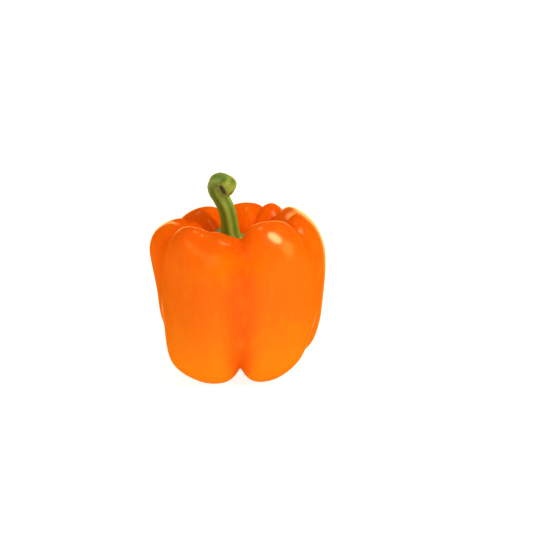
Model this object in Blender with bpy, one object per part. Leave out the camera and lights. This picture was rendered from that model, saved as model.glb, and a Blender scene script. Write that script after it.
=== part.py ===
# Orange bell pepper, standing on its lobes, with its calyx and hooked stem.
# Units are metres; MM turns the sizes below, given in millimetres, into metres.
# The pepper's front is -Y and its stem points up, +Z. Azimuths are degrees
# counter-clockwise from +X, seen from above.

import bmesh
import bpy
import numpy as np

MM = 0.001

# Fruit: stations along the skin, from the blossom end, round the foot, up the side,
# over the shoulder and down into the stem cavity, as (distance from axis, height).
RIDGE_LINE = (
    (0.0, 5.5),
    (6.0, 4.6),
    (12.5, 1.7),
    (20.0, -0.5),
    (29.5, 3.0),
    (38.2, 11.4),
    (41.8, 24.6),
    (42.9, 42.0),
    (43.9, 57.0),
    (43.4, 69.5),
    (39.6, 79.8),
    (31.5, 85.5),
    (24.0, 82.0),
    (17.8, 75.0),
    (12.3, 69.5),
    (6.5, 67.2),
    (0.0, 66.8),
)
VALLEY_LINE = (
    (0.0, 5.5),
    (6.0, 5.4),
    (12.0, 6.2),
    (18.5, 8.8),
    (26.5, 14.2),
    (33.0, 23.0),
    (37.2, 35.0),
    (39.5, 47.5),
    (40.4, 58.5),
    (39.8, 67.5),
    (36.4, 75.0),
    (30.0, 79.3),
    (23.0, 77.0),
    (17.0, 72.2),
    (12.0, 68.6),
    (6.5, 67.1),
    (0.0, 66.8),
)
CREST_STATION = 11

# Where things change along the skin line, from blossom end (0) to stem end (1).
FOOT_TO_MIDDLE = (0.2, 0.48)
MIDDLE_TO_SHOULDER = (0.42, 0.62)
GROOVES_TURN = (0.0, 0.7)
CREST_PULL_START = 0.5
FOOT_RAISE_UP = (0.0, 0.12)
FOOT_RAISE_DOWN = (0.12, 0.42)
CAVITY_START = 0.74
CAVITY_SAMPLES = 80

# Lobes, counter-clockwise: azimuth, share of the ridge line's reach at the foot, at
# mid height and at the shoulder, how far the foot is raised, and where the crest
# stands, as distance from the axis and height.
LOBES = (
    ("left_front_flank", -158.0, 1.08, 0.92, 0.94, -0.15, 34.8, 82.9),
    ("left_front", -137.0, 1.06, 0.93, 0.92, -0.15, 33.5, 84.4),
    ("front_left", -112.0, 1.03, 1.0, 0.97, -0.1, 27.5, 82.1),
    ("front_left_lip", -97.0, 1.0, 1.0, 0.98, 0.0, 28.0, 80.6),
    ("front_right_lip", -78.0, 0.92, 1.0, 1.0, -0.2, 30.6, 88.2),
    ("front_right", -52.0, 0.9, 1.0, 1.0, -0.2, 30.6, 88.0),
    ("right", 12.0, 0.96, 0.99, 1.0, -0.5, 29.0, 85.8),
    ("back_right", 56.0, 0.96, 0.97, 1.0, -0.8, 30.4, 87.5),
    ("back", 84.0, 0.95, 0.96, 1.0, -0.3, 27.5, 85.8),
    ("back_left", 140.0, 0.98, 0.95, 1.0, -0.2, 28.4, 84.6),
    ("left", 178.0, 1.11, 1.02, 1.12, -0.1, 36.5, 81.0),
)

# Grooves between them, counter-clockwise from the front one: azimuth at the crest
# and at the foot, half width in degrees at the crest and at the foot, and share of
# the full depth at the foot, at mid height and at the crest.
GROOVES = (
    ("front", -89.0, -90.0, 7.5, 13.0, 1.0, 1.0, 1.0),
    ("right", -29.0, 3.0, 9.0, 13.0, 1.0, 0.25, 0.85),
    ("back_right", 45.0, 48.0, 7.0, 8.0, 0.0, 0.0, 0.9),
    ("back", 68.0, 75.0, 8.0, 13.0, 1.0, 0.6, 0.55),
    ("behind_stem", 109.0, 105.0, 11.0, 9.0, 0.0, 0.15, 0.85),
    ("back_left", 158.0, 135.0, 8.0, 9.0, 0.0, 0.25, 0.9),
    ("left", 200.0, 165.0, 8.0, 13.0, 1.0, 0.45, 0.95),
    ("front_left", 237.0, 237.0, 8.0, 9.0, 0.0, 0.1, 0.25),
)
CREASE_SOFTNESS = 1.6

FRUIT_SEGMENTS = 120
FRUIT_RINGS = 46
FOOT_CUTTER_SIDE = 150.0
FOOT_CUTTER_DEPTH = 20.0

# Calyx: the green cap on the cavity floor.
CALYX_CENTRE = (-4.3, 1.0)
CALYX_RADIUS = 12.0
CALYX_TEETH = 6
CALYX_TOOTH = 0.13
CALYX_RIM_THICKNESS = 0.9
CALYX_RIM_SQUARENESS = 8
CALYX_BOSS_HEIGHT = 4.0
CALYX_BOSS_RADIUS = 6.2
CALYX_BOSS_FLARE = 5.0
CALYX_SEGMENTS = 60
CALYX_RINGS = 20
SEAT_GAP = 0.4

# Stem: centre line from the boss of the calyx to the cut end, as (x, y, height
# above the boss, radius).
STEM_PATH = (
    (-4.3, 1.0, 0.3, 5.6),
    (-4.6, 1.0, 2.0, 4.9),
    (-5.1, 0.9, 5.2, 4.5),
    (-5.9, 0.4, 12.0, 4.2),
    (-7.1, -0.3, 17.3, 4.15),
    (-9.3, -0.8, 22.2, 4.1),
    (-11.6, -1.1, 26.4, 4.2),
    (-11.9, -2.3, 29.9, 4.2),
    (-9.6, -4.8, 32.0, 4.2),
    (-6.9, -7.8, 32.1, 4.2),
    (-5.7, -10.5, 31.2, 4.2),
    (-6.6, -12.6, 30.2, 4.1),
    (-8.2, -13.8, 29.4, 4.0),
)
STEM_STEPS = 60
STEM_SIDES = 40
STEM_RIBS = 5
STEM_RIB_DEPTH = 0.09

SKIN_COLOUR = (0.93, 0.20, 0.006, 1.0)
CALYX_COLOUR = (0.10, 0.19, 0.03, 1.0)
STEM_COLOUR = (0.16, 0.25, 0.04, 1.0)


def catmull_rom(points, where):
    """Smooth line through the points, read at where (0 at the second point,
    1 at the last but one)."""
    points = np.asarray(points, float)
    spans = len(points) - 3
    place = np.clip(np.asarray(where) * spans, 0, spans - 1e-9)
    index = place.astype(int)
    t = (place - index)[..., None]
    p0, p1, p2, p3 = (points[index + k] for k in range(4))
    return 0.5 * (
        2 * p1
        + (p2 - p0) * t
        + (2 * p0 - 5 * p1 + 4 * p2 - p3) * t**2
        + (3 * p1 - p0 - 3 * p2 + p3) * t**3
    )


def skin_line(stations, along):
    """Smooth line through the stations, level where it meets the axis."""
    first = (-stations[1][0], stations[1][1])
    last = (-stations[-2][0], stations[-2][1])
    return catmull_rom((first, *stations, last), along)


def smooth_step(x):
    x = np.clip(x, 0, 1)
    return x * x * (3 - 2 * x)


def eased(along, stretch):
    """0 before the stretch, 1 after it, and smooth between."""
    start, end = stretch
    return smooth_step((along - start) / (end - start))


def lobe_values(azimuth):
    """The lobes' values at an azimuth, eased from one lobe to the next."""
    corners = np.array([lobe[1:] for lobe in LOBES])
    closing = corners[:1].copy()
    closing[0, 0] += 360
    corners = np.concatenate([corners, closing])
    turned = (azimuth - corners[0, 0]) % 360 + corners[0, 0]
    index = np.clip(np.searchsorted(corners[:, 0], turned, "right") - 1, 0, len(LOBES) - 1)
    span = corners[index + 1, 0] - corners[index, 0]
    share = smooth_step((turned - corners[index, 0]) / span)[..., None]
    values = corners[index, 1:] * (1 - share) + corners[index + 1, 1:] * share
    return np.moveaxis(values, -1, 0)


def blend_up(along, foot, middle, top):
    """Eases from the foot's value to mid height's and on to the shoulder's."""
    lower = foot + (middle - foot) * eased(along, FOOT_TO_MIDDLE)
    return lower + (top - middle) * eased(along, MIDDLE_TO_SHOULDER)


def drift(along):
    """How far the grooves have turned from their foot (0) to their crest azimuth (1)."""
    return eased(along, GROOVES_TURN)


def beside_grooves(azimuth, along):
    """Turns an azimuth at the foot as far as the grooves beside it turn on their way
    up, so that lines of points run along the grooves."""
    crests = np.array([groove[1] for groove in GROOVES])
    feet = np.array([groove[2] for groove in GROOVES])
    turned = np.interp(azimuth, feet, crests - feet, period=360)
    return azimuth + turned * drift(along)


def standing_out(azimuth, along):
    """How far the skin stands out from valley (0) to ridge (1), for azimuth in
    degrees and along from 0 (blossom end) to 1 (stem end)."""
    rise = drift(along)
    out = np.ones_like(azimuth)
    for _, crest, foot, crest_width, foot_width, *depths in GROOVES:
        centre = foot + (crest - foot) * rise
        width = foot_width + (crest_width - foot_width) * rise
        away = (azimuth - centre + 180) % 360 - 180
        away = np.hypot(away, CREASE_SOFTNESS) - CREASE_SOFTNESS
        out = out * (1 - blend_up(along, *depths) * np.exp(-away / width))
    return out


def fruit_skin(azimuth, along):
    """Points of the skin in millimetres: a loft from the valley line to the ridge
    line, which each lobe draws in or out and carries up to its crest."""
    out = standing_out(azimuth, along)
    foot, middle, shoulder, raised, crest_reach, crest_height = lobe_values(azimuth)
    ridge = skin_line(RIDGE_LINE, along)
    valley = skin_line(VALLEY_LINE, along)
    crest = CREST_STATION / (len(RIDGE_LINE) - 1)
    near = eased(along, (CREST_PULL_START, crest)) * (1 - eased(along, (crest, 1.0)))
    beside = 1 + (blend_up(along, foot, middle, shoulder) - 1) * (1 - near)
    under = eased(along, FOOT_RAISE_UP) * (1 - eased(along, FOOT_RAISE_DOWN))
    drawn = crest_reach - RIDGE_LINE[CREST_STATION][0], crest_height - RIDGE_LINE[CREST_STATION][1]
    reach = ridge[..., 0] * beside + drawn[0] * near
    height = ridge[..., 1] + drawn[1] * near + raised * under
    reach = valley[..., 0] + (reach - valley[..., 0]) * out
    height = valley[..., 1] + (height - valley[..., 1]) * out
    angle = np.radians(azimuth)
    return np.stack([reach * np.cos(angle), reach * np.sin(angle), height], axis=-1)


def cavity_height(x, y):
    """Height of the cavity floor over the point (x, y)."""
    azimuth = np.degrees(np.arctan2(y, x))
    along = np.linspace(CAVITY_START, 1.0, CAVITY_SAMPLES)
    skin = fruit_skin(azimuth[:, None] + 0 * along, along + 0 * azimuth[:, None])
    radii = np.hypot(skin[..., 0], skin[..., 1])
    reach = np.hypot(x, y)
    after = np.clip((radii > reach[:, None]).sum(axis=1), 1, len(along) - 1)
    rows = np.arange(len(azimuth))
    outer, inner = radii[rows, after - 1], radii[rows, after]
    share = np.clip((outer - reach) / np.maximum(outer - inner, 1e-6), 0, 1)
    return skin[rows, after - 1, 2] * (1 - share) + skin[rows, after, 2] * share


def material(name, colour, roughness):
    made = bpy.data.materials.new(name)
    made.use_nodes = True
    shader = made.node_tree.nodes["Principled BSDF"]
    shader.inputs["Base Color"].default_value = colour
    shader.inputs["Roughness"].default_value = roughness
    shader.inputs["Metallic"].default_value = 0.0
    return made


def reshaped_sphere(name, segments, rings, points_of, collection):
    """A sphere primitive whose points are moved to points_of(azimuth, latitude)."""
    mesh = bpy.data.meshes.new(name)
    body = bmesh.new()
    bmesh.ops.create_uvsphere(body, u_segments=segments, v_segments=rings, radius=1)
    body.to_mesh(mesh)
    body.free()
    unit = np.empty(len(mesh.vertices) * 3, np.float32)
    mesh.vertices.foreach_get("co", unit)
    unit = unit.reshape(-1, 3).astype(float)
    azimuth = np.degrees(np.arctan2(unit[:, 1], unit[:, 0]))
    latitude = np.degrees(np.arcsin(np.clip(unit[:, 2], -1, 1)))
    points = points_of(azimuth, latitude) * MM
    mesh.vertices.foreach_set("co", points.astype(np.float32).ravel())
    mesh.shade_smooth()
    made = bpy.data.objects.new(name, mesh)
    collection.objects.link(made)
    return made


def fruit_points(azimuth, latitude):
    along = 0.5 + latitude / 180
    return fruit_skin(beside_grooves(azimuth, along), along)


def make_fruit(parts, cutters):
    fruit = reshaped_sphere("fruit", FRUIT_SEGMENTS, FRUIT_RINGS, fruit_points, parts)
    fruit.data.materials.append(material("pepper_skin", SKIN_COLOUR, 0.25))
    # The table flattens each foot a little where the pepper stands on it.
    bpy.ops.mesh.primitive_cube_add(size=1)
    table = bpy.context.object
    table.name = "foot_flat_cutter"
    for held in table.users_collection:
        held.objects.unlink(table)
    cutters.objects.link(table)
    table.scale = (
        FOOT_CUTTER_SIDE * MM,
        FOOT_CUTTER_SIDE * MM,
        FOOT_CUTTER_DEPTH * MM,
    )
    table.location.z = -FOOT_CUTTER_DEPTH * MM / 2
    table.hide_render = True
    table.display_type = "WIRE"
    cut = fruit.modifiers.new("flat feet", "BOOLEAN")
    cut.operation = "DIFFERENCE"
    cut.solver = "EXACT"
    cut.object = table
    return fruit


def boss_top():
    return RIDGE_LINE[-1][1] + SEAT_GAP + CALYX_BOSS_HEIGHT


def calyx_points(azimuth, latitude):
    """Star-rimmed cap: its underside follows the cavity floor, and its top rises
    to a flat boss for the stem."""
    angle = np.radians(azimuth)
    rim = CALYX_RADIUS * (1 + CALYX_TOOTH * np.cos(CALYX_TEETH * angle))
    across = np.cos(np.radians(latitude))
    reach = rim * across
    x = CALYX_CENTRE[0] + reach * np.cos(angle)
    y = CALYX_CENTRE[1] + reach * np.sin(angle)
    under = cavity_height(x, y) + SEAT_GAP
    thickness = np.sqrt(1 - np.minimum(across, 1) ** CALYX_RIM_SQUARENESS)
    slab = under + CALYX_RIM_THICKNESS * thickness
    rise = 1 - smooth_step((reach - CALYX_BOSS_RADIUS) / CALYX_BOSS_FLARE)
    top = slab + (boss_top() - slab) * rise
    return np.stack([x, y, np.where(latitude > 0, top, under)], axis=-1)


def make_calyx(parts):
    calyx = reshaped_sphere("calyx", CALYX_SEGMENTS, CALYX_RINGS, calyx_points, parts)
    calyx.data.materials.append(material("calyx_green", CALYX_COLOUR, 0.5))
    return calyx


def poly_curve(name, points, cyclic, collection):
    data = bpy.data.curves.new(name, "CURVE")
    data.dimensions = "3D"
    spline = data.splines.new("POLY")
    spline.points.add(len(points) - 1)
    for place, point in zip(spline.points, points):
        place.co = (*(np.asarray(point[:3]) * MM), 1)
    spline.use_cyclic_u = cyclic
    made = bpy.data.objects.new(name, data)
    collection.objects.link(made)
    return made


def make_stem(parts, cutters):
    turn = np.linspace(0, 2 * np.pi, STEM_SIDES, endpoint=False)
    ribbed = 1 + STEM_RIB_DEPTH * np.cos(STEM_RIBS * turn)
    profile = poly_curve(
        "stem_profile",
        np.stack([ribbed * np.cos(turn), -ribbed * np.sin(turn), 0 * turn], axis=-1),
        True,
        cutters,
    )
    profile.hide_render = True
    path = np.array(STEM_PATH)
    ends = (2 * path[:1] - path[1:2], path, 2 * path[-1:] - path[-2:-1])
    line = catmull_rom(np.concatenate(ends), np.linspace(0, 1, STEM_STEPS))
    line[:, 2] += boss_top()
    line[0, :2] = line[1, :2]
    stem = poly_curve("stem", line, False, parts)
    for place, radius in zip(stem.data.splines[0].points, line[:, 3]):
        place.radius = radius
    stem.data.bevel_mode = "OBJECT"
    stem.data.bevel_object = profile
    stem.data.use_fill_caps = True
    stem.data.materials.append(material("stem_green", STEM_COLOUR, 0.55))
    return stem


def centre_over_origin(parts):
    """Moves the pieces so that the middle of their common box is over the origin."""
    bpy.context.view_layer.update()
    found = bpy.context.evaluated_depsgraph_get()
    corners = []
    for piece in parts:
        shown = piece.evaluated_get(found)
        mesh = shown.to_mesh()
        places = np.empty(len(mesh.vertices) * 3, np.float32)
        mesh.vertices.foreach_get("co", places)
        corners.append(places.reshape(-1, 3))
        shown.to_mesh_clear()
    corners = np.concatenate(corners)
    middle = (corners.min(axis=0) + corners.max(axis=0)) / 2
    for piece in parts:
        piece.location.x = -float(middle[0])
        piece.location.y = -float(middle[1])


def main():
    for old in list(bpy.data.objects):
        bpy.data.objects.remove(old)
    parts = bpy.data.collections.new("bell_pepper")
    cutters = bpy.data.collections.new("cutters")
    for collection in (parts, cutters):
        bpy.context.scene.collection.children.link(collection)
    pieces = [make_fruit(parts, cutters), make_calyx(parts), make_stem(parts, cutters)]
    centre_over_origin(pieces)


if __name__ == "__main__":
    main()
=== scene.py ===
# Looks of the orange bell pepper: skin, calyx, stem, studio and camera.
# The scene is in metres; the sizes of the pepper's own pieces are in millimetres.
# The front is -Y, the stem points up, and azimuths are degrees counter-clockwise from +X.

from math import cos, radians, sin

import bpy
import numpy as np
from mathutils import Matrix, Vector


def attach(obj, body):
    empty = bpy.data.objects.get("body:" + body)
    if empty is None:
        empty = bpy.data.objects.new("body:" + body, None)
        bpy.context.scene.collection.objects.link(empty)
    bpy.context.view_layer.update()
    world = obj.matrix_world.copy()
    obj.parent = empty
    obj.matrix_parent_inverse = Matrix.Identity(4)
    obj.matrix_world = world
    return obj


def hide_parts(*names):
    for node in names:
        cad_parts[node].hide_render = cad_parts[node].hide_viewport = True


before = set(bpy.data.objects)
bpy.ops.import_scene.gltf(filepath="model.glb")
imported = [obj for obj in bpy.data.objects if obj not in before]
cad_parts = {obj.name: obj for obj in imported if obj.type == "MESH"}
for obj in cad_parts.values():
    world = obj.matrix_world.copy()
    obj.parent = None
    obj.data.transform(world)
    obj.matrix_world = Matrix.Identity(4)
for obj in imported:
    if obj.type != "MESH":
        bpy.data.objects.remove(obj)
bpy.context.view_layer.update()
mm = 0.001


# Surfaces and curves

def smoothStep(x):
    x = np.clip(x, 0, 1)
    return x * x * (3 - 2 * x)


def eased(value, start, end):
    return smoothStep((value - start) / (end - start))


def band(value, start, full, fading, end):
    # 0 outside start to end, 1 from full to fading, eased between
    return eased(value, start, full) * (1 - eased(value, fading, end))


def smoothLine(points, where):
    # Catmull-Rom line: a cubic between each two points that leaves them along the line
    # through their neighbours; where is 0 at the second point and 1 at the last but one
    points = np.asarray(points, float)
    spans = len(points) - 3
    place = np.clip(np.asarray(where) * spans, 0, spans - 1e-9)
    index = place.astype(int)
    t = (place - index)[..., None]
    a, b, c, d = (points[index + k] for k in range(4))
    return 0.5 * (2 * b + (c - a) * t + (2 * a - 5 * b + 4 * c - d) * t**2
                  + (3 * b - a - 3 * c + d) * t**3)


def ringedMesh(name, rings, poles, attributes, material):
    # rings is rows x columns x 3: closed rings carried from one pole to the other, the first
    # pole below; row i and i + 1 share quads, and each pole closes its nearest ring. All of
    # it is moved to the fruit's seat and turned into metres
    rows, columns, _ = rings.shape
    points = (np.concatenate([rings.reshape(-1, 3), np.asarray(poles, float)]) + seat) * mm
    column = np.arange(columns)
    after = (column + 1) % columns
    base = (np.arange(rows - 1) * columns)[:, None]
    quads = np.stack([base + column, base + after, base + columns + after,
                      base + columns + column], axis=-1).reshape(-1, 4)
    low = np.stack([np.full(columns, rows * columns), after, column], axis=-1)
    top = (rows - 1) * columns
    high = np.stack([np.full(columns, rows * columns + 1), top + column, top + after], axis=-1)
    mesh = bpy.data.meshes.new(name)
    loops = np.concatenate([quads.ravel(), low.ravel(), high.ravel()])
    sizes = np.concatenate([np.full(len(quads), 4), np.full(2 * columns, 3)])
    mesh.vertices.add(len(points))
    mesh.vertices.foreach_set("co", points.astype(np.float32).ravel())
    mesh.loops.add(len(loops))
    mesh.loops.foreach_set("vertex_index", loops.astype(np.int32))
    mesh.polygons.add(len(sizes))
    mesh.polygons.foreach_set("loop_start", (np.cumsum(sizes) - sizes).astype(np.int32))
    mesh.update(calc_edges=True)
    mesh.shade_smooth()
    for label, (values, ends) in attributes.items():
        layer = mesh.attributes.new(label, "FLOAT", "POINT")
        values = np.broadcast_to(values, (rows, columns)).ravel()
        layer.data.foreach_set("value", np.append(values, ends).astype(np.float32))
    mesh.materials.append(material)
    piece = bpy.data.objects.new(name, mesh)
    bpy.context.scene.collection.objects.link(piece)
    return piece


# Shader maths

class Wire:
    # A node's output; arithmetic between wires and numbers adds Math nodes
    def __init__(self, tree, socket=None):
        self.tree = tree
        self.socket = socket

    def node(self, kind, settings, inputs, output=0):
        made = self.tree.nodes.new(kind)
        for label, value in settings.items():
            setattr(made, label, value)
        for label, value in inputs.items():
            if isinstance(value, Wire):
                self.tree.links.new(value.socket, made.inputs[label])
            else:
                made.inputs[label].default_value = value
        return Wire(self.tree, made.outputs[output])

    def maths(self, operation, *values):
        return self.node("ShaderNodeMath", {"operation": operation}, dict(enumerate(values)))

    def __add__(self, other):
        return self.maths("ADD", self, other)

    def __radd__(self, other):
        return self.maths("ADD", other, self)

    def __sub__(self, other):
        return self.maths("SUBTRACT", self, other)

    def __rsub__(self, other):
        return self.maths("SUBTRACT", other, self)

    def __mul__(self, other):
        return self.maths("MULTIPLY", self, other)

    def __rmul__(self, other):
        return self.maths("MULTIPLY", other, self)

    def ramp(self, low, high):
        # 0 below low, 1 above high, smooth between; low may be the larger one
        return self.node("ShaderNodeMapRange", {"interpolation_type": "SMOOTHSTEP"},
                         {"Value": self, "From Min": low, "From Max": high})

    def noise(self, where, scale, detail, roughness=0.5):
        return self.node("ShaderNodeTexNoise", {}, {"Vector": where, "Scale": scale,
                                                    "Detail": detail, "Roughness": roughness})

    def blend(self, amount, first, second):
        # First colour where amount is 0, second where it is 1
        return self.node("ShaderNodeMix", {"data_type": "RGBA"},
                         {0: amount, 6: first, 7: second}, 2)

    def attribute(self, label):
        return self.node("ShaderNodeAttribute", {"attribute_name": label}, {}, "Fac")

    def axis(self, name):
        return self.node("ShaderNodeSeparateXYZ", {}, {"Vector": self}, name)

    def stretched(self, scale):
        return self.node("ShaderNodeVectorMath", {"operation": "MULTIPLY"}, {0: self, 1: scale})


def colour(red, green, blue):
    # A colour given as it looks on a screen, 0 to 255, in the linear values that shaders use
    def linear(value):
        value = value / 255
        return value / 12.92 if value <= 0.04045 else ((value + 0.055) / 1.055) ** 2.4
    return (linear(red), linear(green), linear(blue), 1.0)


def emptyMaterial(name):
    made = bpy.data.materials.new(name)
    made.use_nodes = True
    shader = made.node_tree.nodes["Principled BSDF"]
    return made, shader, Wire(made.node_tree)


def finishMaterial(wire, shader, baseColour, roughness, height, bumpStrength, fixed):
    links = wire.tree.links
    links.new(baseColour.socket, shader.inputs["Base Color"])
    links.new(roughness.socket, shader.inputs["Roughness"])
    bump = wire.node("ShaderNodeBump", {}, {"Height": height, "Distance": mm,
                                            "Strength": bumpStrength})
    links.new(bump.socket, shader.inputs["Normal"])
    for label, value in fixed.items():
        shader.inputs[label].default_value = value


# Fruit

fruitShape = {
    # along the skin from the blossom end round the foot, up the side, over the shoulder
    # and down into the stem cavity: distance from the axis, height
    "ridgeLine": (
        (0.0, 5.5), (6.0, 4.6), (12.5, 1.7), (20.0, -0.5), (29.5, 3.0), (38.2, 11.4),
        (41.8, 24.6), (42.9, 42.0), (43.9, 57.0), (43.4, 69.5), (39.6, 79.8), (31.5, 85.5),
        (24.0, 82.0), (17.8, 75.0), (12.3, 69.5), (6.5, 67.2), (0.0, 66.8),
    ),
    "valleyLine": (
        (0.0, 5.5), (6.0, 5.4), (12.0, 6.2), (18.5, 8.8), (26.5, 14.2), (33.0, 23.0),
        (37.2, 35.0), (39.5, 47.5), (40.4, 58.5), (39.8, 67.5), (36.4, 75.0), (30.0, 79.3),
        (23.0, 77.0), (17.0, 72.2), (12.0, 68.6), (6.5, 67.1), (0.0, 66.8),
    ),
    "crestStation": 11,       # which of these points is the crest
    # azimuth, share of the reach at the foot, middle and shoulder, foot raised by,
    # crest's distance from the axis and height
    "lobes": (
        (-158.0, 1.125, 0.93, 0.94, -0.15, 34.8, 82.9),
        (-137.0, 1.07, 0.935, 0.92, -0.15, 33.5, 84.4),
        (-112.0, 1.03, 1.0, 0.97, -0.1, 27.5, 82.1),
        (-97.0, 1.0, 1.0, 0.98, 0.0, 28.0, 80.6),
        (-78.0, 0.92, 1.0, 1.0, -0.2, 30.6, 88.2),
        (-52.0, 0.9, 1.0, 1.0, -0.2, 30.6, 88.0),
        (12.0, 0.985, 1.005, 1.01, -0.5, 29.0, 85.8),
        (56.0, 0.96, 0.97, 1.0, -0.8, 30.4, 87.5),
        (84.0, 0.95, 0.96, 1.0, -0.3, 27.5, 85.8),
        (140.0, 0.98, 0.95, 1.0, -0.2, 28.4, 84.6),
        (178.0, 1.11, 1.03, 1.16, -0.1, 36.5, 81.0),
    ),
    # azimuth at the crest and foot, half width there, depth at foot, middle and crest
    "grooves": (
        (-89.0, -90.0, 7.5, 13.0, 1.0, 1.0, 1.0),
        (-29.0, 3.0, 9.0, 13.0, 1.0, 0.25, 0.85),
        (45.0, 48.0, 7.0, 8.0, 0.0, 0.0, 0.9),
        (68.0, 75.0, 8.0, 13.0, 1.0, 0.6, 0.55),
        (109.0, 105.0, 11.0, 9.0, 0.0, 0.15, 0.85),
        (158.0, 135.0, 8.0, 9.0, 0.0, 0.25, 0.9),
        (200.0, 165.0, 8.0, 13.0, 1.0, 0.45, 0.95),
        (237.0, 237.0, 8.0, 9.0, 0.0, 0.1, 0.25),
    ),
    "seat": (1.474, -0.337, 0.0),   # puts the middle of the CAD fruit's box over the origin
    # where things change along the skin, from the blossom end, 0, to the stem, 1
    "footToMiddle": (0.2, 0.48),
    "middleToShoulder": (0.42, 0.62),
    "groovesTurn": (0.0, 0.7),
    "footRaise": (0.0, 0.12, 0.12, 0.42),
    "crestPullStart": 0.5,
    "softSide": (0.15, 0.38, 0.55, 0.68),
    "wavySide": (0.16, 0.3, 0.72, 0.84),
    "cavityStart": 0.74,
    "cavitySamples": 80,
    "creaseSoftness": 1.6,    # of the grooves in degrees, at the foot and the crest
    "sideSoftness": 7.0,      # and half way up, where they are shallow
    "waveHeight": 0.16,       # broad unevenness of the wall
    "scarRadius": 3.2,        # corky blossom scar under the fruit
    "scarHeight": 0.5,
    "scarRays": 5,
    "rayDepth": 0.3,
    "footHeight": 2.0,        # below this the feet flatten on the table
    "footSoftness": 0.12,
    "columns": 400,
    "rows": 230,
}


def lobeValues(azimuth):
    # The lobes' values at an azimuth, eased from one lobe to the next
    corners = np.array(fruitShape["lobes"])
    closing = corners[:1] + np.array([360.0, 0, 0, 0, 0, 0, 0])
    corners = np.concatenate([corners, closing])
    turned = (azimuth - corners[0, 0]) % 360 + corners[0, 0]
    index = np.clip(np.searchsorted(corners[:, 0], turned, "right") - 1, 0, len(corners) - 2)
    span = corners[index + 1, 0] - corners[index, 0]
    share = smoothStep((turned - corners[index, 0]) / span)[..., None]
    values = corners[index, 1:] * (1 - share) + corners[index + 1, 1:] * share
    return np.moveaxis(values, -1, 0)


def upTheSide(along, foot, middle, top):
    # A value that goes from foot to middle to top up the side
    lower = foot + (middle - foot) * eased(along, *fruitShape["footToMiddle"])
    return lower + (top - middle) * eased(along, *fruitShape["middleToShoulder"])


def besideGrooves(azimuth, along):
    # Columns of the grid turn as the grooves beside them turn on their way up
    grooves = np.array(fruitShape["grooves"])
    turned = np.interp(azimuth, grooves[:, 1], grooves[:, 0] - grooves[:, 1], period=360)
    return azimuth + turned * eased(along, *fruitShape["groovesTurn"])


def standingOut(azimuth, along):
    # 1 on a lobe, falling to 0 in a groove as exp(-distance / width), for each groove
    rise = eased(along, *fruitShape["groovesTurn"])
    soft = fruitShape["creaseSoftness"]
    soft = soft + (fruitShape["sideSoftness"] - soft) * band(along, *fruitShape["softSide"])
    out = np.ones_like(azimuth)
    for crest, foot, crestWidth, footWidth, *depths in fruitShape["grooves"]:
        centre = foot + (crest - foot) * rise
        width = footWidth + (crestWidth - footWidth) * rise
        away = (azimuth - centre + 180) % 360 - 180
        away = np.hypot(away, soft) - soft
        out = out * (1 - upTheSide(along, *depths) * np.exp(-away / width))
    return out


def skinLine(stations, along):
    # Smooth line through the stations, mirrored past the axis at both ends
    first = (-stations[1][0], stations[1][1])
    last = (-stations[-2][0], stations[-2][1])
    return smoothLine((first, *stations, last), along)


def fruitSkin(azimuth, along):
    # Valley line + (ridge line, drawn to each lobe's reach and crest, - valley line) times
    # how far the skin stands out there, turned to its azimuth
    shape = fruitShape
    out = standingOut(azimuth, along)
    foot, middle, shoulder, raised, crestReach, crestHeight = lobeValues(azimuth)
    ridge = skinLine(shape["ridgeLine"], along)
    valley = skinLine(shape["valleyLine"], along)
    crest = shape["crestStation"] / (len(shape["ridgeLine"]) - 1)
    near = band(along, shape["crestPullStart"], crest, crest, 1.0)
    beside = 1 + (upTheSide(along, foot, middle, shoulder) - 1) * (1 - near)
    under = band(along, *shape["footRaise"])
    crestPoint = shape["ridgeLine"][shape["crestStation"]]
    reach = ridge[..., 0] * beside + (crestReach - crestPoint[0]) * near
    height = ridge[..., 1] + (crestHeight - crestPoint[1]) * near + raised * under
    reach = valley[..., 0] + (reach - valley[..., 0]) * out
    height = valley[..., 1] + (height - valley[..., 1]) * out
    angle = np.radians(azimuth)
    return np.stack([reach * np.cos(angle), reach * np.sin(angle), height], axis=-1)


def wallWaves(points):
    # Sum of products of sine waves through space, 0 on average; what divides a coordinate is
    # a length in millimetres
    x, y, z = np.moveaxis(points, -1, 0)
    slow = np.sin(x / 5.1 + z / 17 + 0.7) * np.sin(y / 6.3 - z / 21 + 1.9)
    quick = np.sin(x / 2.7 - y / 3.9 + 0.4) * np.sin(z / 7.7 + y / 8.3)
    return 0.65 * slow + 0.35 * quick


def fruitGrid():
    # Fruit skin over azimuth and way along, moved outwards by the waves, with the scar's
    # rayed hollow, and flattened where it would go through the table
    shape = fruitShape
    azimuth, along = np.meshgrid(
        np.linspace(0, 360, shape["columns"], endpoint=False),
        np.linspace(0, 1, shape["rows"] + 2)[1:-1])
    azimuth = besideGrooves(azimuth, along)
    skin = fruitSkin(azimuth, along)
    # outwards is away from the middle of the axis, with the upward part drawn in
    outward = skin * np.array([1.0, 1.0, 0.35]) - np.array([0, 0, 16.0])
    outward /= np.linalg.norm(outward, axis=-1, keepdims=True)
    onSide = band(along, *shape["wavySide"])
    skin = skin + outward * (wallWaves(skin) * shape["waveHeight"] * onSide)[..., None]
    distance = np.hypot(skin[..., 0], skin[..., 1])
    radius = shape["scarRadius"]
    scar = (1 - eased(distance, 0.3 * radius, radius)) * (along < 0.2)
    ray = np.cos(np.radians(azimuth * shape["scarRays"])) * eased(distance, 0, radius)
    skin[..., 2] -= scar * shape["scarHeight"] * (1 + shape["rayDepth"] * ray)
    lift = skin[..., 2]
    flattened = 0.5 * (lift + np.sqrt(lift**2 + shape["footSoftness"] ** 2))
    skin[..., 2] = np.where(lift < shape["footHeight"], flattened, lift)
    return skin, along, standingOut(azimuth, along), scar


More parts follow.
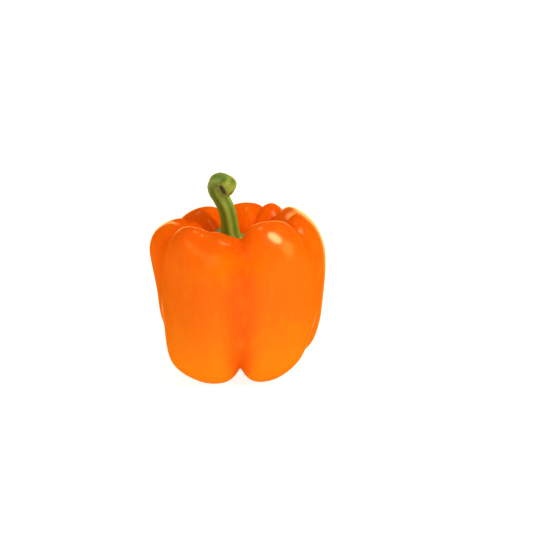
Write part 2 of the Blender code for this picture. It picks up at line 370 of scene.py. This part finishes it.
skin, skinAlong, skinOut, scarMask = fruitGrid()
seat = np.array(fruitShape["seat"])
print("fruit grid", skin.shape)

skinLook = {
    "belly": colour(244, 103, 0),
    # lower: the foot's own yellower tone, lightened as painted bounce light from the floor
    "lower": colour(252, 127, 0),
    # shoulder: the shoulders' own redder tone, darkened as painted shade on top
    "shoulder": colour(236, 90, 0),
    # cavity and well are painted shade: redder, then darker, down in the stem cavity
    "cavity": colour(248, 92, 0),
    "wellShade": colour(214, 52, 0),
    # groove is painted shade: darker and redder in the grooves
    "groove": colour(236, 84, 0),
    "pale": colour(250, 140, 4),
    "scar": colour(140, 96, 40),
    "shoulderFrom": (0.52, 0.68),    # where along the skin each colour takes over
    "cavityFrom": (0.7, 0.8),
    "wellShadeFrom": (0.78, 0.92),
    "dullFrom": (0.715, 0.745),      # and where the wax ends
    "cloudScale": 60.0,
    "fineScale": 420.0,
    "streakScale": 500.0,
    "streakStretch": (1.0, 1.0, 0.12),
    "speckScale": 700.0,
    "bump": 0.5,
    "roughness": (0.18, 0.26),
    "wax": 0.62,              # coat weight, on the outside and down in the cavity
    "cavityWax": 0.05,
    # no gloss but the wax, which alone shows the panels
    "fixed": {"Specular IOR Level": 0.0, "Coat Roughness": 0.18,
              "Subsurface Weight": 0.12, "Subsurface Radius": (1.0, 0.3, 0.05),
              "Subsurface Scale": 0.003},
}


def skinMaterial():
    look = skinLook
    made, shader, wire = emptyMaterial("pepperSkin")
    place = wire.node("ShaderNodeTexCoord", {}, {}, "Object")
    height = place.axis("Z")
    along, out, scar = (wire.attribute(label) for label in ("along", "out", "scar"))
    cloud = wire.noise(place, look["cloudScale"], 3.0)
    fine = wire.noise(place, look["fineScale"], 3.0, 0.6)
    streak = wire.noise(place.stretched(look["streakStretch"]), look["streakScale"], 2.0)
    # the lower part lighter and yellower: its own tone and painted bounce light from the floor
    base = wire.blend((height + cloud * 0.016).ramp(0.06, 0.01), look["belly"], look["lower"])
    # the shoulders darker and redder: their own tone and painted shade
    base = wire.blend(along.ramp(*look["shoulderFrom"]), base, look["shoulder"])
    # painted shade: the skin redder and then darker down into the stem cavity
    base = wire.blend(along.ramp(*look["cavityFrom"]), base, look["cavity"])
    base = wire.blend(along.ramp(*look["wellShadeFrom"]), base, look["wellShade"])
    # painted shade: the skin darker and redder in the grooves
    base = wire.blend(out.ramp(0.75, 0.1) * 0.7, base, look["groove"])
    base = wire.blend(cloud.ramp(0.52, 0.75) * 0.22, base, look["pale"])
    base = wire.blend(streak.ramp(0.55, 0.8) * 0.22, base, look["pale"])
    specks = wire.node("ShaderNodeTexVoronoi", {}, {"Vector": place, "Scale": look["speckScale"]},
                       "Distance")
    base = wire.blend(specks.ramp(0.16, 0.04) * fine.ramp(0.5, 0.6) * 0.3, base, look["pale"])
    base = wire.blend(scar.ramp(0.15, 0.85), base, look["scar"])
    smooth, rough = look["roughness"]
    roughness = smooth + (rough - smooth) * cloud + scar * 0.4
    dull = along.ramp(*look["dullFrom"])
    creased = out.ramp(0.9, 0.6) * along.ramp(0.45, 0.6) * 0.7
    wax = (look["wax"] + (look["cavityWax"] - look["wax"]) * dull) * (1 - creased) * (1 - scar)
    wire.tree.links.new(wax.socket, shader.inputs["Coat Weight"])
    bumps = fine * 0.03 + streak * 0.02 + scar * fine * 0.6
    finishMaterial(wire, shader, base, roughness, bumps, look["bump"], look["fixed"])
    return made


fruit = ringedMesh(
    "fruitSkin", skin, [(0, 0, skin[row, :, 2].mean()) for row in (0, -1)],
    {"along": (skinAlong, [0, 1]), "out": (skinOut, [1, 1]), "scar": (scarMask, [1, 0])},
    skinMaterial())
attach(fruit, "root")
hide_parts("fruit")
print("fruit done", len(fruit.data.polygons), "faces")


# Calyx

calyxShape = {
    "centre": (-4.3, 1.0),
    "radius": 12.0,
    "teeth": 6,
    "tooth": 0.13,            # how far the teeth reach out, as a share of the radius
    "rimThickness": 1.2,      # of the slab inside its rounded edge
    "bossHeight": 4.0,
    "bossRadius": 6.2,
    "bossFlare": 5.0,
    "seatGap": 0.1,           # from the cavity floor, here and in the CAD model
    "cadSeatGap": 0.4,
    "ribHeight": 0.35,
    "ribFrom": (4.0, 8.0),    # distances from the centre at which ribs and veins begin
    "veins": 31,              # round the whole calyx
    "veinFrom": (3.0, 6.0),
    "columns": 240,
    "rows": 90,
}
floorHeight = fruitShape["ridgeLine"][-1][1]
bossTop = floorHeight + calyxShape["cadSeatGap"] + calyxShape["bossHeight"]


def cavityHeight(x, y):
    # Height of the cavity's skin over each point, from samples of the skin along its azimuth
    samples = fruitShape["cavitySamples"]
    reach = np.hypot(x, y).ravel()
    azimuth, along = np.meshgrid(
        np.degrees(np.arctan2(y, x)).ravel(),
        np.linspace(fruitShape["cavityStart"], 1.0, samples), indexing="ij")
    wall = fruitSkin(azimuth, along)
    radii = np.hypot(wall[..., 0], wall[..., 1])
    after = np.clip((radii > reach[:, None]).sum(axis=1), 1, samples - 1)
    each = np.arange(len(reach))
    outer, inner = radii[each, after - 1], radii[each, after]
    share = np.clip((outer - reach) / np.maximum(outer - inner, 1e-6), 0, 1)
    height = wall[each, after - 1, 2] * (1 - share) + wall[each, after, 2] * share
    return height.reshape(x.shape)


def calyxGrid():
    # Star-rimmed cap over latitude and azimuth: below the rim it follows the cavity floor,
    # above it the slab rises to a flat boss, with a low rib out to each tooth
    shape = calyxShape
    turn, latitude = np.meshgrid(
        np.radians(np.linspace(0, 360, shape["columns"], endpoint=False)),
        np.radians(np.linspace(-90, 90, shape["rows"] + 2)[1:-1]))
    waver = 0.03 * np.sin(turn * 2 + 1.0) + 0.025 * np.sin(turn * 5 + 0.4)
    rim = shape["radius"] * (1 + shape["tooth"] * np.cos(shape["teeth"] * turn) + waver)
    across = np.cos(latitude)
    reach = rim * across
    x = shape["centre"][0] + reach * np.cos(turn)
    y = shape["centre"][1] + reach * np.sin(turn)
    under = cavityHeight(x, y) + shape["seatGap"]
    thickness = shape["rimThickness"] * np.sqrt(1 - np.minimum(across, 1) ** 8)
    slab = under + thickness
    rise = 1 - eased(reach, shape["bossRadius"], shape["bossRadius"] + shape["bossFlare"])
    ribs = np.maximum(np.cos(shape["teeth"] * turn), 0) ** 2 * eased(reach, *shape["ribFrom"])
    top = slab + (bossTop - slab) * rise + ribs * shape["ribHeight"] * np.sin(latitude)
    height = np.where(latitude > 0, top, under)
    veins = np.cos(turn * shape["veins"] + 2.0 * np.sin(turn * 4))
    veins = veins * eased(reach, *shape["veinFrom"])
    return np.stack([x, y, height], axis=-1), reach / rim, ribs, veins


calyxLook = {
    "middle": colour(106, 136, 42),
    "edge": colour(138, 158, 70),
    "rib": colour(138, 160, 70),
    "dark": colour(82, 108, 30),
    "brown": colour(112, 92, 40),
    "cloudScale": 300.0,
    "fineScale": 1600.0,
    "bump": 0.7,
    "fixed": {"Specular IOR Level": 0.4, "Coat Weight": 0.1, "Coat Roughness": 0.3,
              "Subsurface Weight": 0.08, "Subsurface Radius": (0.5, 0.8, 0.2),
              "Subsurface Scale": 0.0015},
}


def calyxMaterial():
    look = calyxLook
    made, shader, wire = emptyMaterial("calyxGreen")
    place = wire.node("ShaderNodeTexCoord", {}, {}, "Object")
    across, ribs, veins = (wire.attribute(label) for label in ("across", "ribs", "veins"))
    cloud = wire.noise(place, look["cloudScale"], 3.0)
    fine = wire.noise(place, look["fineScale"], 3.0, 0.6)
    base = wire.blend(cloud.ramp(0.3, 0.75), look["dark"], look["middle"])
    base = wire.blend((veins + (fine - 0.5)).ramp(0.5, 1.0) * 0.4, base, look["rib"])
    base = wire.blend(ribs * 0.6, base, look["rib"])
    base = wire.blend((across + cloud * 0.2).ramp(0.9, 1.1) * 0.8, base, look["edge"])
    base = wire.blend((across * fine).ramp(0.52, 0.64) * 0.8, base, look["brown"])
    roughness = 0.4 + 0.25 * cloud
    bumps = cloud * 0.15 + fine * 0.1 + veins * 0.15
    finishMaterial(wire, shader, base, roughness, bumps, look["bump"], look["fixed"])
    return made


cap, capAcross, capRibs, capVeins = calyxGrid()
calyx = ringedMesh(
    "calyxCap", cap,
    [(*calyxShape["centre"], height) for height in (floorHeight + calyxShape["seatGap"], bossTop)],
    {"across": (capAcross, [0, 0]), "ribs": (capRibs, [0, 0]), "veins": (capVeins, [0, 0])},
    calyxMaterial())
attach(calyx, "root")
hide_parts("calyx")
print("calyx done")


# Stem

stemShape = {
    # centre line from the boss of the calyx to the cut end: x, y, height above the boss, radius
    "path": (
        (-4.3, 1.0, 0.3, 5.6), (-4.6, 1.0, 2.0, 4.9), (-5.1, 0.9, 5.2, 4.5), (-5.9, 0.4, 12.0, 4.2),
        (-7.1, -0.3, 17.3, 4.15), (-9.3, -0.8, 22.2, 4.1), (-11.6, -1.1, 26.4, 4.2),
        (-11.9, -2.3, 29.9, 4.2), (-9.6, -4.8, 32.0, 4.2), (-6.9, -7.8, 32.1, 4.2),
        (-5.7, -10.5, 31.2, 4.2), (-6.6, -12.6, 30.2, 4.1), (-8.2, -13.8, 29.4, 4.0),
    ),
    "columns": 160,
    "rows": 260,
    "capRows": 26,
    "ribs": 5,
    "ribDepth": 0.06,         # depths are shares of the radius
    "flareDepth": 0.12,       # what the foot adds to the ribs' depth
    "flareEnd": 0.1,          # and where that ends, as a share of the length
    "ribStart": 0.75,         # turn of the ribs at the foot, in radians
    "twist": 0.15,            # and how much further they turn by the cut end
    "furrows": 17,
    "furrowDepth": 0.008,
    "rimHeight": 0.35,        # the cut end's raised edge
    "hollow": 0.9,            # depth of the pith in the cut end
    # from the cut end's edge, 0, to its middle, 1
    "rimEnd": 0.3,
    "hollowFrom": (0.2, 0.65),
    "roundFrom": (0.0, 0.4),
}


def alongPath(line):
    # Frames carried along the line with the least turning: each normal is the last one with
    # its part along the new direction taken out
    direction = np.gradient(line, axis=0)
    direction /= np.linalg.norm(direction, axis=1, keepdims=True)
    normal = np.array([1.0, 0, 0])
    normals = []
    for heading in direction:
        normal = normal - heading * (normal @ heading)
        normal /= np.linalg.norm(normal)
        normals.append(normal)
    normals = np.array(normals)
    return direction, normals, np.cross(direction, normals)


def stemGrid():
    # Profile of ribs and furrows, radius * (1 + ribs + furrows), carried along the path, then
    # rings that shrink to a hollow at the cut end
    shape = stemShape
    path = np.array(shape["path"])
    ends = (2 * path[:1] - path[1:2], path, 2 * path[-1:] - path[-2:-1])
    share = np.linspace(0, 1, shape["rows"])
    line = smoothLine(np.concatenate(ends), share)
    line[:, 2] += bossTop
    heading, side, other = alongPath(line[:, :3])
    turn = np.linspace(0, 2 * np.pi, shape["columns"], endpoint=False)
    twisted = turn + shape["twist"] * share[:, None]
    ribs = np.cos(shape["ribs"] * twisted + shape["ribStart"])
    furrows = np.cos(shape["furrows"] * twisted + 1.3 * np.sin(3 * twisted))
    swell = 1 + shape["ribDepth"] * ribs + shape["furrowDepth"] * furrows
    foot = 1 - eased(share, 0, shape["flareEnd"])
    swell += foot[:, None] * shape["flareDepth"] * ribs
    reach = line[:, 3:] * swell
    ring = (side[:, None] * np.cos(turn)[None, :, None]
            + other[:, None] * np.sin(turn)[None, :, None])
    rings = line[:, None, :3] + ring * reach[..., None]
    inward = np.linspace(0, 1, shape["capRows"] + 2)[1:-1]
    rimmed = shape["rimHeight"] * np.sin(np.pi * np.clip(inward / shape["rimEnd"], 0, 1))
    sunk = shape["hollow"] * eased(inward, *shape["hollowFrom"])
    middle = line[-1, :3]
    circle = middle + ring[-1] * line[-1, 3]
    rounding = eased(inward, *shape["roundFrom"])[:, None, None]
    edge = rings[-1] * (1 - rounding) + circle * rounding
    cap = (middle + (edge - middle) * (1 - inward)[:, None, None]
           + heading[-1] * (rimmed - sunk)[:, None, None])
    grid = np.concatenate([rings, cap])
    shares = np.concatenate([share, np.ones(shape["capRows"])])
    cut = np.concatenate([0 * share, inward])
    ribValues = np.concatenate([ribs, np.tile(ribs[-1:], (shape["capRows"], 1))])
    turns = np.tile(np.cos(turn), (len(grid), 1))
    poles = (line[0, :3], middle - heading[-1] * shape["hollow"])
    return grid, poles, shares[:, None], cut[:, None], ribValues, turns


stemLook = {
    "green": colour(124, 154, 44),
    # light and dark are painted highlight and shade: paler rib crests, darker furrows and a darker
    # shaded side
    "light": colour(160, 182, 82),
    "dark": colour(88, 114, 20),
    # painted light: one side of the stem's lower half paler and greener
    "paintedLitSide": colour(116, 170, 60),
    # head: the bend greyer, its own tone and a painted sheen
    "head": colour(122, 144, 78),
    "tip": colour(128, 136, 26),
    # the cut end: a paler raised rim, a painted highlight, and a dark hollow, the dried pith's own
    # colour with painted shade
    "cut": colour(76, 74, 34),
    "cutRimHighlight": colour(132, 140, 62),
    "brown": colour(70, 62, 22),
    "cloudScale": 220.0,
    "fineScale": 1500.0,
    "fibreScale": 3.0,
    "bump": 0.6,
    "fixed": {"Specular IOR Level": 0.35, "Coat Weight": 0.1, "Coat Roughness": 0.35,
              "Subsurface Weight": 0.06, "Subsurface Radius": (0.5, 0.8, 0.2),
              "Subsurface Scale": 0.0015},
}


def stemMaterial():
    look = stemLook
    made, shader, wire = emptyMaterial("stemGreen")
    place = wire.node("ShaderNodeTexCoord", {}, {}, "Object")
    share, cut, ribs, around = (
        wire.attribute(label) for label in ("share", "cut", "ribs", "around"))
    cloud = wire.noise(place, look["cloudScale"], 3.0)
    fine = wire.noise(place, look["fineScale"], 3.0, 0.6)
    fibreSpace = wire.node("ShaderNodeCombineXYZ", {}, {"X": around * 9.0, "Y": ribs * 2.0,
                                                        "Z": share * 6.0})
    fibre = wire.noise(fibreSpace, look["fibreScale"], 3.0)
    # painted shade and highlight: darker between the ribs, paler on their crests, with the fibres'
    # own streaks
    base = wire.blend((ribs + (fibre - 0.5) * 0.8).ramp(-1.2, 0.6), look["dark"], look["green"])
    base = wire.blend((ribs + (fibre - 0.5)).ramp(0.2, 1.2) * 0.6, base, look["light"])
    # painted light and shade: the stem's lower half paler and greener on one side, darker on the
    # other
    base = wire.blend(around.ramp(0.6, 1.0) * share.ramp(0.55, 0.4) * 0.7, base, look["paintedLitSide"])
    base = wire.blend(around.ramp(-0.2, -0.9) * share.ramp(0.6, 0.4) * 0.4, base, look["dark"])
    # the bend greyer: its own tone and a painted sheen
    bend = share.ramp(0.5, 0.62) * (1 - share.ramp(0.74, 0.9))
    base = wire.blend(bend * 0.55, base, look["head"])
    base = wire.blend(share.ramp(0.8, 0.95) * 0.8, base, look["tip"])
    base = wire.blend((fine * cloud).ramp(0.36, 0.46) * 0.5, base, look["brown"])
    # painted highlight: the cut end's raised rim paler; then the dried pith's dark colour with
    # painted shade in the hollow
    base = wire.blend(cut.ramp(0.001, 0.05), base, look["cutRimHighlight"])
    base = wire.blend((cut + (cloud - 0.5) * 0.2).ramp(0.22, 0.42), base, look["cut"])
    roughness = 0.42 + 0.2 * cloud + cut.ramp(0.1, 0.3) * 0.25
    bumps = fibre * 0.3 + fine * 0.1
    finishMaterial(wire, shader, base, roughness, bumps, look["bump"], look["fixed"])
    return made


stalk, stalkPoles, stalkShare, stalkCut, stalkRibs, stalkTurns = stemGrid()
stem = ringedMesh(
    "stemStalk", stalk, stalkPoles,
    {"share": (stalkShare, [0, 1]), "cut": (stalkCut, [0, 1]),
     "ribs": (stalkRibs, [0, 0]), "around": (stalkTurns, [0, 0])}, stemMaterial())
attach(stem, "root")
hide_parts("stem")
print("stem done")


# Studio

studio = {
    "floorSize": 6.0,         # in metres, as the panels are
    "floorColour": (0.4, 0.4, 0.4, 1.0),
    "floorGlow": 0.85,
    "backdrop": 1.1,          # strength of the white room as the camera sees it
    "lightAbove": 0.78,       # and as light from above and from the sides
    "lightBeside": 0.95,
    "lightColour": (1.0, 0.97, 0.66, 1.0),
    "glossFront": 0.05,       # and in the skin's gloss, before and behind the pepper
    "glossBehind": 6.0,
    "glossColour": (1.0, 0.4, 0.11, 1.0),
    "panelTarget": (0.01, -0.02, 0.08),
    "panelDistance": 0.9,
    # azimuth, elevation, width, height, watts, colour, seen by the gloss alone
    "panels": {
        "keyGloss": (-29, 47, 0.36, 0.56, 14.0, (1, 0.8, 0.34), True),
        "topGloss": (98, 85, 0.12, 0.12, 0.8, (1, 0.66, 0.22), True),
        "lowGloss": (-14, 18, 0.45, 0.4, 3.0, (1, 0.6, 0.12), True),
        "leftGloss": (-129, 29, 0.5, 0.5, 2.4, (1, 0.55, 0.12), True),
        "keyLight": (-48, 34, 0.1, 0.1, 3.5, (1, 0.96, 0.74), False),
    },
}


def makeFloor():
    # A square plane, corners at plus and minus half its size
    half = studio["floorSize"] / 2
    mesh = bpy.data.meshes.new("floor")
    mesh.from_pydata([(-half, -half, 0), (half, -half, 0), (half, half, 0), (-half, half, 0)],
                     [], [(0, 1, 2, 3)])
    made, shader, _ = emptyMaterial("paleFloor")
    shader.inputs["Base Color"].default_value = studio["floorColour"]
    shader.inputs["Roughness"].default_value = 0.9
    shader.inputs["Specular IOR Level"].default_value = 0.1
    shader.inputs["Emission Color"].default_value = (1, 1, 1, 1)
    shader.inputs["Emission Strength"].default_value = studio["floorGlow"]
    mesh.materials.append(made)
    floor = bpy.data.objects.new("floor", mesh)
    bpy.context.scene.collection.objects.link(floor)
    floor.visible_glossy = False


def makeWorld():
    # A white room for the camera, a dimmer one for light, and for the gloss a dark one with a
    # bright strip low behind the pepper, which gives the pale rims of the crests
    world = bpy.data.worlds.new("whiteRoom")
    bpy.context.scene.world = world
    world.use_nodes = True
    back = world.node_tree.nodes["Background"]
    wire = Wire(world.node_tree)
    toward = wire.node("ShaderNodeTexCoord", {}, {}, "Generated")
    rising = toward.axis("Z")
    above = rising.ramp(0.0, 0.8)
    behind = toward.axis("Y").ramp(0.8, 0.95)
    behind = behind * rising.ramp(0.36, 0.1) * (0.4 + 0.6 * rising.ramp(-0.32, -0.15))
    camera = wire.node("ShaderNodeLightPath", {}, {}, "Is Camera Ray")
    gloss = wire.node("ShaderNodeLightPath", {}, {}, "Is Glossy Ray")
    light = studio["lightBeside"] + above * (studio["lightAbove"] - studio["lightBeside"])
    shine = studio["glossFront"] + behind * (studio["glossBehind"] - studio["glossFront"])
    strength = light + gloss * (shine - light)
    strength = strength + camera * (studio["backdrop"] - strength)
    world.node_tree.links.new(strength.socket, back.inputs["Strength"])
    tint = wire.blend(gloss, studio["lightColour"], studio["glossColour"])
    tint = wire.blend(camera, tint, (1, 1, 1, 1))
    world.node_tree.links.new(tint.socket, back.inputs["Color"])
    world.cycles.sampling_method = "NONE"   # so that gloss and light each see their own room


def makePanel(name, azimuth, elevation, width, height, watts, shade, glossOnly):
    # A soft panel that is seen by the gloss alone, or by all but the gloss
    turn, tilt = radians(azimuth), radians(elevation)
    target = Vector(studio["panelTarget"])
    toward = Vector((cos(turn) * cos(tilt), sin(turn) * cos(tilt), sin(tilt)))
    place = target + studio["panelDistance"] * toward
    data = bpy.data.lights.new(name, "AREA")
    data.shape = "ELLIPSE"
    data.size, data.size_y = width, height
    data.energy = watts
    data.color = shade
    lamp = bpy.data.objects.new(name, data)
    bpy.context.scene.collection.objects.link(lamp)
    lamp.location = place
    lamp.rotation_euler = (target - place).to_track_quat("-Z", "Y").to_euler()
    lamp.visible_camera = False
    lamp.visible_diffuse = not glossOnly
    lamp.visible_glossy = glossOnly


makeFloor()
makeWorld()
for name, values in studio["panels"].items():
    makePanel(name, *values)
print("studio done")


# Camera

shot = {
    "elevation": 16.0,        # degrees above the table
    "pixelsPerMm": 1.91,
    "distance": 0.8,          # in metres
    "sensorWidth": 36.0,
    "imageWidth": 550,
    "axisPixel": (241.0, 372.0),   # where the fruit's axis meets the table
}


def makeCamera():
    # Aimed so that the fruit's axis meets the table at its pixel, at the photograph's scale
    tilt = radians(shot["elevation"])
    half = shot["imageWidth"] / 2
    across = (half - shot["axisPixel"][0]) / shot["pixelsPerMm"] * mm
    up = (shot["axisPixel"][1] - half) / shot["pixelsPerMm"] * mm
    aim = Vector((across, up * sin(tilt), up * cos(tilt))) + Vector(seat * mm)
    data = bpy.data.cameras.new("photoCamera")
    data.sensor_width = shot["sensorWidth"]
    widthSeen = shot["imageWidth"] / shot["pixelsPerMm"] * mm
    data.lens = shot["sensorWidth"] * shot["distance"] / widthSeen
    camera = bpy.data.objects.new("photoCamera", data)
    bpy.context.scene.collection.objects.link(camera)
    camera.location = aim + shot["distance"] * Vector((0, -cos(tilt), sin(tilt)))
    camera.rotation_euler = (radians(90) - tilt, 0, 0)
    bpy.context.scene.camera = camera


makeCamera()
bpy.context.scene.view_settings.view_transform = "Standard"
bpy.context.scene.view_settings.look = "None"

print("all pieces in place")
